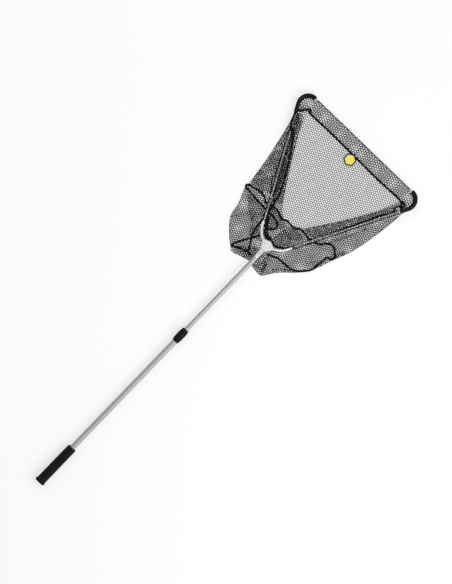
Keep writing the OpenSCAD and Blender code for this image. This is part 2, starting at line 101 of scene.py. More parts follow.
ROOT = PIVOT + EYE_REACH * heading(ROOT_ANGLE)
BEND_CENTRE = ROOT - ARM_BEND_R * normal(ROOT_ANGLE)
RUN_START = BEND_CENTRE + ARM_BEND_R * normal(ARM_ANGLE)


def beside(s, o):
    """A point beside the left arm: s along its straight run, o outwards from it."""
    return RUN_START + s * heading(ARM_ANGLE) + o * normal(ARM_ANGLE)


TIP_CENTRE = beside(ARM_RUN, -TIP_BEND_R)
TIP_LINE = np.array(
    [TIP_CENTRE + TIP_BEND_R * heading(q) for q in np.linspace(ARM_ANGLE + math.pi / 2, 0, 9)]
)


def arm_line():
    bend = [BEND_CENTRE + ARM_BEND_R * normal(a) for a in np.linspace(ROOT_ANGLE, ARM_ANGLE, 6)]
    return np.array([PIVOT, *bend, beside(ARM_RUN, 0)])


ARM_LINE = arm_line()
HANDLE_LINE = np.array([[-400.0, 0.0], [24.0, 0.0]])
# Where the fan of the folding netting begins and is full, and how far out an arm reaches
FAN_START_X, FAN_FULL_X, ARM_REACH_Y = -60, 55, 262


def to_row(points):
    """Hub-frame millimetres to the row frame in metres."""
    out = np.array(points, float).reshape(-1, 3) * MM
    out[:, 0] += HUB_X_M
    return out


# ---- What a user would change ----
def length_of(name, default, description):
    """A length in metres that a user can set."""
    return bpy.props.FloatProperty(
        name=name, description=description, default=default, unit="LENGTH"
    )


def colour_of(name, default, description):
    """A colour that a user can pick."""
    return bpy.props.FloatVectorProperty(
        name=name, description=description, default=default, subtype="COLOR"
    )


class NettingProps(bpy.types.PropertyGroup):
    cell: length_of("Mesh", 0.0098, "Width of one six-sided mesh, flat to flat")
    thread: length_of("Thread width", 0.0023, "Width of a coated netting thread")
    thread_height: length_of("Thread height", 0.0013, "Height of a coated netting thread")
    crown: length_of("Crown", 0.021, "Height of the folded netting outside the arms")
    colour: colour_of("Netting colour", (0.004, 0.004, 0.0045), "Colour of the threads")


class TapeProps(bpy.types.PropertyGroup):
    width: length_of("Tape width", 0.0088, "Width of the binding tape")
    thickness: length_of("Tape thickness", 0.0016, "Thickness of the folded tape")
    colour: colour_of("Tape colour", (0.002, 0.002, 0.002), "Colour of the binding tape")


class FinishProps(bpy.types.PropertyGroup):
    tube: colour_of("Tube", (0.46, 0.46, 0.465), "Colour of the drawn aluminium tubes")
    cast: colour_of("Casting", (0.92, 0.92, 0.91), "Colour of the polished hub and link")
    black: colour_of(
        "Black mouldings", (0.004, 0.004, 0.0042), "Colour of the lock, grip and corners"
    )
    yellow: colour_of("Badge", (0.86, 0.8, 0.17), "Colour of the badge's bare face")


class StageProps(bpy.types.PropertyGroup):
    lens: bpy.props.FloatProperty(
        name="Lens", description="Focal length of the camera, in millimetres", default=135.0
    )
    width: length_of("View", 2.336, "What the long side of the view takes in")
    sky: bpy.props.FloatProperty(name="Sky", description="Strength of the plain sky", default=0.55)
    lamp: bpy.props.FloatProperty(
        name="Lamp", description="Power of the large lamp overhead", default=62.0, unit="POWER"
    )
    shade: bpy.props.FloatProperty(
        name="Floor shade", description="Share of the floor's own shading that shows",
        default=0.4, subtype="FACTOR",
    )


PROPS = {
    "net_bag": NettingProps, "net_tape": TapeProps,
    "net_finish": FinishProps, "net_stage": StageProps,
}


# ---- Finishes ----
class Finish:
    """A procedural material under construction, with short calls for its nodes."""

    def __init__(self, name, colour, roughness, metallic=0.0, **sockets):
        self.material = bpy.data.materials.new(name)
        self.material.use_nodes = True
        self.material.diffuse_color = (*colour, 1)
        self.nodes = self.material.node_tree.nodes
        self.links = self.material.node_tree.links
        self.shader = self.nodes["Principled BSDF"]
        self.colour = tuple(colour)
        self.roughness = roughness
        self.shader.inputs["Base Color"].default_value = (*colour, 1)
        self.shader.inputs["Roughness"].default_value = roughness
        self.shader.inputs["Metallic"].default_value = metallic
        for socket, value in sockets.items():
            self.shader.inputs[socket.replace("_", " ")].default_value = value

    def add(self, kind, **values):
        node = self.nodes.new("ShaderNode" + kind)
        for key, value in values.items():
            if hasattr(node, key):
                setattr(node, key, value)
            else:
                node.inputs[key.replace("_", " ")].default_value = value
        return node

    def place(self, scale):
        """The piece's own coordinates, stretched by scale along each axis."""
        where, sized = self.add("TexCoord"), self.add("Mapping")
        sized.inputs["Scale"].default_value = scale
        self.links.new(where.outputs["Object"], sized.inputs["Vector"])
        return sized.outputs["Vector"]

    def noise(self, scale, stretch=(1, 1, 1), detail=3.0):
        node = self.add("TexNoise", Scale=scale, Detail=detail)
        self.links.new(self.place(stretch), node.inputs["Vector"])
        return node.outputs["Fac"]

    def wave(self, scale, direction="X", turned=(0, 0, 0)):
        node = self.add("TexWave", bands_direction=direction, Scale=scale)
        where, sized = self.add("TexCoord"), self.add("Mapping")
        sized.inputs["Rotation"].default_value = turned
        self.links.new(where.outputs["Object"], sized.inputs["Vector"])
        self.links.new(sized.outputs["Vector"], node.inputs["Vector"])
        return node.outputs["Fac"]

    def vary_colour(self, fac, darker=0.75, lighter=1.15):
        ramp = self.add("ValToRGB")
        for element, share in zip(ramp.color_ramp.elements, (darker, lighter)):
            element.color = (*[min(1.0, c * share) for c in self.colour], 1)
        self.links.new(fac, ramp.inputs["Fac"])
        self.links.new(ramp.outputs["Color"], self.shader.inputs["Base Color"])

    def vary_roughness(self, fac, spread):
        node = self.add("MapRange")
        node.inputs["To Min"].default_value = max(0.02, self.roughness - spread)
        node.inputs["To Max"].default_value = min(1.0, self.roughness + spread)
        self.links.new(fac, node.inputs["Value"])
        self.links.new(node.outputs["Result"], self.shader.inputs["Roughness"])

    def bump(self, fac, strength, distance):
        node = self.add("Bump", Strength=strength, Distance=distance)
        self.links.new(fac, node.inputs["Height"])
        if self.shader.inputs["Normal"].is_linked:
            self.links.new(self.shader.inputs["Normal"].links[0].from_socket, node.inputs["Normal"])
        self.links.new(node.outputs["Normal"], self.shader.inputs["Normal"])


def netting_thread(colour):
    f = Finish("netting_thread", colour, 0.5, Specular_IOR_Level=0.2)
    f.vary_colour(f.noise(900), 0.6, 1.6)
    f.bump(f.noise(1800), 0.3, 0.0003)
    return f.material


def woven_tape(colour):
    f = Finish("woven_tape", colour, 0.8, Sheen_Weight=0.05, Specular_IOR_Level=0.12)
    f.vary_colour(f.noise(260), 0.6, 1.7)
    f.bump(f.wave(420, "DIAGONAL"), 0.5, 0.0004)
    f.bump(f.wave(420, "DIAGONAL", turned=(0, 0, math.pi / 2)), 0.5, 0.0004)
    return f.material


def drawn_tube(name, colour, roughness, metallic=0.9):
    """Drawn and anodised aluminium: fine lines along the tube, with faint wear."""
    f = Finish(name, colour, roughness, metallic)
    lines = f.noise(220, (0.02, 3, 3), 4)
    f.vary_colour(lines, 0.86, 1.06)
    f.vary_roughness(f.noise(30, (0.3, 1, 1)), 0.07)
    f.bump(lines, 0.12, 0.0002)
    return f.material


def cast_metal(name, colour, roughness):
    """Polished die casting: slightly uneven, with soft spots of polish."""
    f = Finish(name, colour, roughness, 0.4)
    f.vary_colour(f.noise(160), 0.9, 1.04)
    f.vary_roughness(f.noise(90), 0.08)
    f.bump(f.noise(420), 0.1, 0.0004)
    return f.material


def moulded_black(name, colour, roughness, grain):
    f = Finish(name, colour, roughness, Specular_IOR_Level=0.16)
    f.vary_colour(f.noise(120), 0.8, 1.3)
    f.bump(f.noise(grain), 0.3, 0.0003)
    return f.material


def ribbed_grip(colour):
    f = Finish("ribbed_grip", colour, 0.62, Specular_IOR_Level=0.16)
    f.vary_colour(f.noise(80), 0.8, 1.5)
    f.bump(f.wave(260, "X"), 0.5, 0.0006)
    f.bump(f.noise(1500), 0.25, 0.0003)
    return f.material


def collet_white():
    f = Finish("collet_white", (0.75, 0.75, 0.73), 0.45)
    f.vary_colour(f.noise(300), 0.94, 1.04)
    return f.material


def badge_dark(colour):
    f = Finish("badge_rim", colour, 0.5, Specular_IOR_Level=0.2)
    f.vary_colour(f.noise(400), 0.7, 1.4)
    f.bump(f.noise(1400), 0.2, 0.0002)
    return f.material


def badge_face(colour):
    """Soft moulded face, slightly uneven in colour."""
    f = Finish("badge_yellow", colour, 0.48, Specular_IOR_Level=0.35)
    f.vary_colour(f.noise(120), 0.9, 1.06)
    f.bump(f.noise(1600), 0.2, 0.0002)
    return f.material


def give(obj, material):
    obj.data.materials.clear()
    obj.data.materials.append(material)


def finish_nodes(material, *names):
    """CAD pieces keep their shape and take a better finish."""
    for name in names:
        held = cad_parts[name].data.materials
        if not held:
            held.append(material)
        for i in range(len(held)):
            held[i] = material


# ---- Mesh helpers ----
def make_object(name, points, faces, smooth=True):
    """A mesh object from hub-frame points in millimetres."""
    mesh = bpy.data.meshes.new(name)
    mesh.from_pydata([tuple(p) for p in to_row(points)], [], faces)
    mesh.polygons.foreach_set("use_smooth", [smooth] * len(mesh.polygons))
    mesh.update()
    obj = bpy.data.objects.new(name, mesh)
    bpy.context.scene.collection.objects.link(obj)
    return obj


def directions(line):
    """The directions along, across and above each point of a line."""
    way = np.gradient(line, axis=0)
    way /= np.linalg.norm(way, axis=1)[:, None]
    across = np.cross(way, (0, 0, 1))
    across /= np.linalg.norm(across, axis=1)[:, None]
    return way, across, np.cross(across, way)


def tube_faces(rings, n):
    """The faces of a closed tube made of that many rings of n points."""
    faces = []
    for i in range(rings - 1):
        for k in range(n):
            a, b = i * n + k, i * n + (k + 1) % n
            faces.append((a, b, b + n, a + n))
    return faces + [tuple(range(n))[::-1], tuple(range((rings - 1) * n, rings * n))]


def smooth_line(points, steps):
    """A smooth curve through the points, by Catmull and Rom's rule."""
    p = np.array(points, float)
    p = np.vstack([2 * p[0] - p[1], p, 2 * p[-1] - p[-2]])
    out = []
    for a, b, c, d in zip(p[:-3], p[1:-2], p[2:-1], p[3:]):
        for t in np.arange(steps) / steps:
            bend, twist = 2 * a - 5 * b + 4 * c - d, 3 * b - a - 3 * c + d
            out.append(0.5 * (2 * b + (c - a) * t + bend * t**2 + twist * t**3))
    out.append(p[-2])
    return np.array(out)


def rounded(outline):
    """Cuts each corner of a closed outline once."""
    p = np.array(outline, float)
    q = np.roll(p, -1, axis=0)
    return np.stack([0.8 * p + 0.2 * q, 0.2 * p + 0.8 * q], axis=1).reshape(-1, 2)


def inside(outline, p):
    """Which points lie inside the outline."""
    hit = np.zeros(len(p), bool)
    for a, b in zip(outline, np.roll(outline, -1, axis=0)):
        crosses = (a[1] > p[:, 1]) != (b[1] > p[:, 1])
        rise = b[1] - a[1] if b[1] != a[1] else 1e-9
        hit ^= crosses & (p[:, 0] < (b[0] - a[0]) * (p[:, 1] - a[1]) / rise + a[0])
    return hit


def distance(line, p):
    """Distance of each point from a line of straight pieces."""
    best = np.full(len(p), 1e9)
    for a, b in zip(line[:-1], line[1:]):
        d = b - a
        t = np.clip(((p - a) @ d) / max(d @ d, 1e-9), 0, 1)
        best = np.minimum(best, np.linalg.norm(p - a - t[:, None] * d, axis=1))
    return best


def ease(x, low, high):
    t = np.clip((x - low) / (high - low), 0, 1)
    return t * t * (3 - 2 * t)


# ---- Netting ----
def comb(low, high, cell, turn, shift):
    """The threads of a six-sided netting over a rectangle, as start and end points.
    The meshes' flats face along turn, and a mesh is centred on shift."""
    turn = turn + math.pi / 6
    size = cell / math.sqrt(3)
    onto = np.array([[math.cos(turn), math.sin(turn)], [-math.sin(turn), math.cos(turn)]])
    basis = cell * np.array([heading(math.pi / 6), heading(-math.pi / 6)])
    corners = np.array([(x, y) for x in (low[0], high[0]) for y in (low[1], high[1])]) - shift
    steps = (corners @ onto.T) @ np.linalg.inv(basis)
    ranges = [np.arange(int(steps[:, k].min()) - 3, int(steps[:, k].max()) + 4) for k in (0, 1)]
    i, j = np.meshgrid(*ranges)
    knots = i.reshape(-1, 1) * basis[0] + j.reshape(-1, 1) * basis[1] + (size, 0)
    starts = np.repeat(knots, 3, axis=0)
    third = 2 * math.pi / 3
    legs = np.tile([heading(a) * size for a in (0, third, -third)], (len(knots), 1))
    a, b = starts @ onto + shift, (starts + legs) @ onto + shift
    keep = np.all((np.maximum(a, b) > low) & (np.minimum(a, b) < high), axis=1)
    return a[keep], b[keep]


def trim(outline, a, b):
    """Cuts the threads where they cross the outline, and keeps what is inside."""
    in_a, in_b = inside(outline, a), inside(outline, b)
    keep = in_a | in_b
    a, b, in_a, in_b = a[keep].copy(), b[keep].copy(), in_a[keep], in_b[keep]
    swap = ~in_a
    a[swap], b[swap] = b[swap].copy(), a[swap].copy()
    crossing = ~(in_a & in_b)
    near, far = a[crossing].copy(), b[crossing].copy()
    for _ in range(9):
        mid = (near + far) / 2
        within = inside(outline, mid)
        near[within] = mid[within]
        far[~within] = mid[~within]
    b[crossing] = near
    long_enough = np.linalg.norm(a - b, axis=1) > 0.4
    return a[long_enough], b[long_enough]


def area_of(outline):
    x, y = np.array(outline, float).T
    return 0.5 * abs(np.dot(x, np.roll(y, -1)) - np.dot(y, np.roll(x, -1)))


class Threads:
    """Gathers threads and the area of cloth they stand for, then makes one mesh of strands."""

    def __init__(self, width, height):
        self.width, self.height = width / MM, height / MM
        self.starts, self.ends, self.ups = [], [], []
        self.cloth = 0.0

    def add(self, a, b, up=(0, 0, 1)):
        self.starts.append(a)
        self.ends.append(b)
        self.ups.append(np.broadcast_to(np.array(up, float), a.shape))

    def add_line(self, line, up=(0, 0, 1)):
        self.add(line[:-1], line[1:], up)

    def build(self, name):
        a, b, up = (np.concatenate(x) for x in (self.starts, self.ends, self.ups))
        along = b - a
        length = np.linalg.norm(along, axis=1)
        good = length > 1e-3
        a, b, up, along = a[good], b[good], up[good], along[good] / length[good][:, None]
        a, b = a - along * self.width * 0.25, b + along * self.width * 0.25
        side = np.cross(along, up)
        side /= np.maximum(np.linalg.norm(side, axis=1), 1e-6)[:, None]
        lift = np.cross(side, along) * self.height / 2
        side = side * self.width / 2
        rings = [a + side, a + lift, a - side, a - lift, b + side, b + lift, b - side, b - lift]
        points = to_row(np.stack(rings, axis=1).reshape(-1, 3))
        quads = np.array([[0, 4, 5, 1], [1, 5, 6, 2], [2, 6, 7, 3], [3, 7, 4, 0]])
        faces = (np.arange(len(a))[:, None, None] * 8 + quads[None]).reshape(-1)
        mesh = bpy.data.meshes.new(name)
        mesh.vertices.add(len(points))
        mesh.vertices.foreach_set("co", points.reshape(-1))
        mesh.loops.add(len(faces))
        mesh.loops.foreach_set("vertex_index", faces)
        mesh.polygons.add(len(faces) // 4)
        mesh.polygons.foreach_set("loop_start", np.arange(0, len(faces), 4))
        mesh.update(calc_edges=True)
        obj = bpy.data.objects.new(name, mesh)
        bpy.context.scene.collection.objects.link(obj)
        return obj

    def declare(self, obj, length, held, rests_on=()):
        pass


def finish_netting(threads, stem, side, thread, length, held, replaced, rests_on=(), folds=True):
    """Makes one side's netting with its finish, hangs it from its arm when it does not fold, and
    hides the pieces it replaces.
    """
    net = threads.build(f"{stem}_{SIDES[side]}")
    give(net, thread)
    if folds:
        follow_arm(net, side)
    else:
        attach(net, f"{SIDES[side]}_arm")
    threads.declare(net, length, held, rests_on)
    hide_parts(*replaced)


def ripple(p, seed, wavelength, along=0.0):
    """Soft uneven waves, mostly between -1 and 1, the same on every run."""
    draw = np.random.default_rng(seed)
    out = np.zeros(len(p))
    for _ in range(5):
        angle = along + draw.uniform(-0.7, 0.7) + math.pi / 2
        length = wavelength * draw.uniform(0.55, 1.7)
        out += np.sin(p @ heading(angle) * 2 * math.pi / length + draw.uniform(0, 6.3))
    return out / 3.2


# Outlines of the laid bag, in the hub's frame, with y outwards from the handle.
EDGE = {
    LEFT: [
        (-90, 0), (-90, 12), (-99, 45), (-111, 85), (-96, 107), (-68, 141), (-13, 187), (46, 199),
        (113, 226), (134, 224), (271, 244), (430, 279), (476, 300),
    ],
    RIGHT: [
        (-90, 0), (-96, 12), (-101, 62), (-70, 86), (-37, 112), (19, 170), (73, 203), (148, 231),
        (231, 263), (359, 288), (427, 296), (470, 300),
    ],
}
# Where the single floor layer ends and the folded side turns back under itself
INNER_FOLD = {
    LEFT: [(503, 256), (403, 216), (295, 155), (200, 95), (150, 60), (118, 22), (106, 0)],
    RIGHT: [(503, 262), (403, 222), (295, 158), (200, 93), (150, 58), (128, 30), (106, 0)],
}


# Room under the frame's bars, and how far from each the netting reaches its full height
UNDER_ARM, ARM_CLEAR, ARM_FREE = 11.5, 10, 55
UNDER_HANDLE, HANDLE_CLEAR, HANDLE_FREE = 6.5, 18, 75
# Heights of the netting: lowest on the floor, its waves, and the width of its falling rim
FLOOR_LOW, FLOOR_WAVE, RIM_WIDTH = 0.8, 0.9, 26


def room_above(p):
    """Height that the frame leaves for the netting at each hub-frame point, with y outwards."""
    to_arm, to_handle = distance(ARM_LINE, p), distance(HANDLE_LINE, p)
    crown = bpy.context.scene.net_bag.crown / MM
    beside_arm = UNDER_ARM + (crown - UNDER_ARM) * ease(to_arm, ARM_CLEAR, ARM_FREE)
    free = ease(to_handle, HANDLE_CLEAR, HANDLE_FREE)
    return np.minimum(beside_arm, UNDER_HANDLE + (crown - UNDER_HANDLE) * free)


def edge_line(side):
    return smooth_line(EDGE[side], 3)


MOUTH_MIDDLE = np.array([200.0, 0.0])


def drawn_in(line, by):
    """An edge moved towards the middle of the mouth, so that cut threads stay behind the rim."""
    inward = MOUTH_MIDDLE - line
    return line + by * inward / np.linalg.norm(inward, axis=1)[:, None]


def floor_height(p, side):
    """The lowest layer: on the floor at its edge, in low waves inside it."""
    rim = ease(distance(edge_line(side), p), 0, RIM_WIDTH)
    return np.maximum(FLOOR_LOW, FLOOR_WAVE + FLOOR_WAVE * rim * (1 + ripple(p, 3, 60)))


def fold_height(p, side, seed):
    """The upper netting of a folded side or rear lobe: puffed outside the frame, low under it."""
    rim = ease(distance(edge_line(side), p), -2, RIM_WIDTH) ** 0.6
    inner = np.array(INNER_FOLD[side], float)
    fold = ease(distance(inner, p), -3, 16)
    room = room_above(p)
    top = 2.2 + (room - 3.0) * 0.72 * rim * (0.45 + 0.55 * fold)
    wave = 0.13 * room * rim * fold * ripple(p, seed, 40, ARM_ANGLE)
    return np.clip(top + wave, 1.6, room)


def lay(threads, side, outline, cell, height, turn, shift, gather=0.0, seed=0, round_off=True):
    """Lays one layer of netting over an outline at a height, into threads.
    gather is how far the meshes are pulled about where the cloth is gathered."""
    shape = np.array(outline, float)
    if round_off:
        shape = rounded(shape)
    a, b = comb(shape.min(axis=0) - 2, shape.max(axis=0) + 2, cell, turn, shift)
    if gather:
        for p in (a, b):
            pull = np.stack([ripple(p, seed + 11, 70), ripple(p, seed + 12, 70, ARM_ANGLE)], axis=1)
            p += gather * pull * ease(p[:, 1], 0, 40)[:, None]
    a, b = trim(shape, a, b)
    threads.cloth += area_of(shape)
    flat = [np.column_stack([p, height(p)]) for p in (a, b)]
    for p in flat:
        p[:, 1] *= side
    threads.add(*flat)


def strip_outline(line, width):
    """A narrow outline of that width along a line."""
    mid = smooth_line(line, 4)
    way = np.gradient(mid, axis=0)
    across = np.column_stack([-way[:, 1], way[:, 0]]) / np.linalg.norm(way, axis=1)[:, None]
    taper = width / 2 * np.sin(np.linspace(0.25, math.pi - 0.25, len(mid)))[:, None]
    return np.vstack([mid + across * taper, (mid - across * taper)[::-1]])


# ---- Soft pieces beside the arms ----
def fan_share(points_m, side):
    """How far each point turns with its arm: none on the handle's line, all of it at the arm."""
    x = (points_m[:, 0] - HUB_X_M) / MM
    y = points_m[:, 1] / MM * side
    arm_y = RUN_START[1] + (x - RUN_START[0]) * math.tan(ARM_ANGLE)
    arm_y = np.clip(arm_y, RUN_START[1], ARM_REACH_Y)
    return np.clip(y / arm_y, 0, 1) * ease(x, FAN_START_X, FAN_FULL_X)


def follow_arm(obj, side):
    """Bakes a soft piece's placement into its mesh and works out each point's share of its arm's
    turn, which is not used further.
    """
    start, end = to_row([(250, 0, 5), (250, 175 * side, 5)])
    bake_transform(obj)
    points = np.zeros(len(obj.data.vertices) * 3)
    obj.data.vertices.foreach_get("co", points)
    share = fan_share(points.reshape(-1, 3), side).astype(np.float32)


def half_of(obj, side, name):
    """The part of a piece on one side of the handle's line."""
    mesh = obj.data.copy()
    work = bmesh.new()
    work.from_mesh(mesh)
    bmesh.ops.bisect_plane(
        work, geom=work.verts[:] + work.edges[:] + work.faces[:],
        plane_co=(0, 0, 0), plane_no=(0, -side, 0), clear_outer=True,
    )
    work.to_mesh(mesh)
    work.free()
    half = bpy.data.objects.new(name, mesh)
    bpy.context.scene.collection.objects.link(half)
    return half


def split_and_follow(obj, stem):
    """Cuts a piece that crosses the handle's line in two, one half on each side of it."""
    halves = {side: half_of(obj, side, f"{stem}_{SIDES[side]}") for side in SIDES}
    bpy.data.objects.remove(obj)
    for side, half in halves.items():
        follow_arm(half, side)
    return halves


# ---- The camera and the cord ----
# What the camera looks down on, and how far it is turned, in degrees
VIEW_CENTRE, VIEW_TURN = (-244.9, -10.5, 15), -46.05


class LANDINGNET_OT_camera(bpy.types.Operator):
    """Camera high above the floor, with the handle running from lower left to upper right"""

    bl_idname = "landingnet.camera"
    bl_label = "Camera"

    def execute(self, context):
        props = context.scene.net_stage
        data = bpy.data.cameras.new("camera")
        data.lens = props.lens
        data.sensor_width = 36.0
        camera = bpy.data.objects.new("camera", data)
        height = props.width * props.lens / data.sensor_width
        centre = to_row([VIEW_CENTRE])[0]
        camera.location = (centre[0], centre[1], centre[2] + height)
        camera.rotation_euler = (0, 0, math.radians(VIEW_TURN))
        data.clip_end = 100
        context.scene.collection.objects.link(camera)
        context.scene.camera = camera
        return {"FINISHED"}


def sweep(name, line, section):
    """A closed tube of that section along a line. section holds (across, up) pairs."""
    _, across, up = directions(line)
    points = [p + u * across[i] + v * up[i] for i, p in enumerate(line) for u, v in section]
    return make_object(name, points, tube_faces(len(line), len(section)))


def round_section(diameter, sides=10):
    angles = np.arange(sides) * 2 * math.pi / sides
    return [(diameter / 2 * math.cos(a), diameter / 2 * math.sin(a)) for a in angles]


class LANDINGNET_OT_front_cord(bpy.types.Operator):
    """Taut cord between the two corner tips, in two lengths that meet on the handle's line"""

    bl_idname = "landingnet.front_cord"
    bl_label = "Front cord"

    def execute(self, context):
        black = moulded_black("cord_sheath", context.scene.net_finish.black, 0.6, 2200)
        pieces = []
        for side, word in SIDES.items():
            line = np.array([(CORD_X, side * y, AXIS_Z) for y in np.linspace(CORD_END_Y, 0, 40)])
            cord = sweep(f"front_cord_{word}", line, round_section(CORD_D))
            give(cord, black)
            follow_arm(cord, side)
            tuple(to_row([line[0]])[0])
            [tuple(p) for p in to_row(line)]
            pieces.append(cord)
        for cord in pieces:
            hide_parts("front_cord")
        finish_nodes(black, "cord_knot_left", "cord_knot_right")
        return {"FINISHED"}


# ---- The bag ----
class LANDINGNET_OT_floor_netting(bpy.types.Operator):
    """The bag's lowest layer, laid flat on the floor inside the whole outline"""

    bl_idname = "landingnet.floor_netting"
    bl_label = "Floor netting"

    def execute(self, context):
        props = context.scene.net_bag
        thread = netting_thread(props.colour)
        for side in SIDES:
            threads = Threads(props.thread, props.thread_height)
            edge = drawn_in(edge_line(side), 2.0)
            front = [(TAPE_FRONT_X + 2, 283), (TAPE_FRONT_X + 2, 0)]
            outline = [tuple(p) for p in edge] + front
            # one lattice for both halves, so that the meshes run on across the handle's line
            lay(
                threads, side, outline, props.cell / MM, lambda p: floor_height(p, side),
                0.0, (0, 0), 0.35, 5, round_off=False,
            )
            finish_netting(threads, "floor_netting", side, thread, 590, "laid", ["net_floor"])
        return {"FINISHED"}


# Layers above the folded netting: outline, how far above it, mesh direction
EXTRA_LAYERS = {
    LEFT: [
        # inner return
        ([
            (490, 262), (403, 214), (295, 152), (200, 93), (160, 70), (150, 118), (230, 172),
            (330, 232), (440, 284),
        ], 2.2, 0.35),
        # beside the arm
        ([(330, 205), (250, 165), (170, 120), (160, 146), (225, 182), (310, 214)], 3.4, 0.6),
        # outer side
        ([
            (400, 268), (271, 240), (150, 222), (132, 216), (140, 150), (250, 190), (330, 234),
            (380, 254),
        ], 1.8, -0.25),
        # rear facet
        ([(104, 210), (48, 143), (22, 108), (58, 88), (96, 96)], 3.0, 0.25),
        # hub facet
        ([(60, 88), (20, 108), (-22, 80), (-4, 30), (14, 46)], 2.6, -0.3),
        # under the bend
        ([(130, 100), (128, 0), (100, 0), (60, 30), (40, 46), (60, 80), (96, 104)], 2.4, 0.5),
        # tail fold
        ([(-20, 0), (-40, 40), (-78, 60), (-92, 88), (-106, 84), (-96, 45), (-84, 0)], 2.2, 0.2),
    ],
    RIGHT: [
        # inner return
        ([
            (485, 266), (403, 220), (295, 156), (200, 92), (150, 60), (150, 112), (240, 160),
            (340, 214), (440, 268),
        ], 2.2, -0.35),
        # centre facet
        ([(124, 0), (130, 50), (122, 90), (92, 66), (60, 0)], 2.4, 0.9),
        # under the bend
        ([(104, 0), (98, 44), (74, 68), (40, 46), (28, 26), (26, 0)], 3.2, 0.3),
        # tail fold
        ([(-30, 0), (-40, 36), (-70, 64), (-92, 60), (-90, 0)], 2.4, -0.4),
        # outer edge
        ([
            (206, 252), (180, 243), (150, 228), (95, 205), (60, 190), (110, 196), (170, 222),
            (212, 243),
        ], 1.6, 0.7),
    ],
}
# Narrow pleats, each a dark doubled line: route and width; and how far they stand up
PLEAT_LIFT = 1.3
PLEATS = {
    LEFT: [([(-14, 184), (18, 164), (46, 144), (40, 118), (24, 106)], 12),
           ([(400, 258), (330, 214), (250, 182), (170, 150), (110, 130)], 14),
           ([(-92, 94), (-70, 70), (-58, 24)], 10)],
    RIGHT: [([(120, 208), (80, 176), (30, 152)], 9), ([(14, 160), (-22, 112), (-58, 78)], 10),
            ([(330, 240), (250, 205), (180, 170)], 10), ([(-24, 30), (-52, 46), (-98, 62)], 16)],
}


class LANDINGNET_OT_folded_netting(bpy.types.Operator):
    """The folded sides and rear lobes of the bag, with their returns and pleats"""

    bl_idname = "landingnet.folded_netting"
    bl_label = "Folded netting"

    def execute(self, context):
        props = context.scene.net_bag
        thread = netting_thread(props.colour)
        cell = props.cell / MM
        for side, word in SIDES.items():
            threads = Threads(props.thread, props.thread_height)
            outline = INNER_FOLD[side] + [tuple(p) for p in edge_line(side)]
            seed = 20 + side

            def height(p, lift=0.0):
                return np.minimum(fold_height(p, side, seed) + lift, room_above(p) + 0.4)

            turn = 0.1 * side
            lay(threads, side, outline, cell, height, turn, (3, 2), 0.9, seed, round_off=False)
            for shape, lift, turn in EXTRA_LAYERS[side]:
                lay(threads, side, shape, cell, lambda p: height(p, lift), turn, (1, 3), 0.9, seed)
            for number, (route, width) in enumerate(PLEATS[side]):
                lay(
                    threads, side, strip_outline(route, width), cell,
                    lambda p: height(p, PLEAT_LIFT), 0.6 * number, (1, number), round_off=False,
                )
            for line in (edge_line(side), smooth_line(INNER_FOLD[side][1:-1], 6)):
                rim = np.column_stack([line * (1, side), height(line)])
                threads.add_line(rim)
            finish_netting(
                threads, "folded_netting", side, thread, 620, "folded",
                ["net_rear", f"net_side_{word}", f"net_lobe_{word}"], [f"floor_netting_{word}"],
            )
        return {"FINISHED"}


# How far inside each arm the netting sleeve is bound, along the arm's run
HEM_DEPTH = {
    LEFT: ([0, 150, 300, 420, 486], [12, 26, 33, 24, 16]),
    RIGHT: ([0, 100, 300, 420, 486], [9, 12, 14, 12, 12]),
}
# Height of the sleeve's bound edge
HEM_Z = 12.2
# The sleeve's two layers: radius round the arm, gathering, mesh direction, whole width or less
SLEEVE_LAYERS = ((ARM_D / 2 + 1.2, 1.5, 0.0, True), (ARM_D / 2 + 2.4, 1.6, 0.35, False))


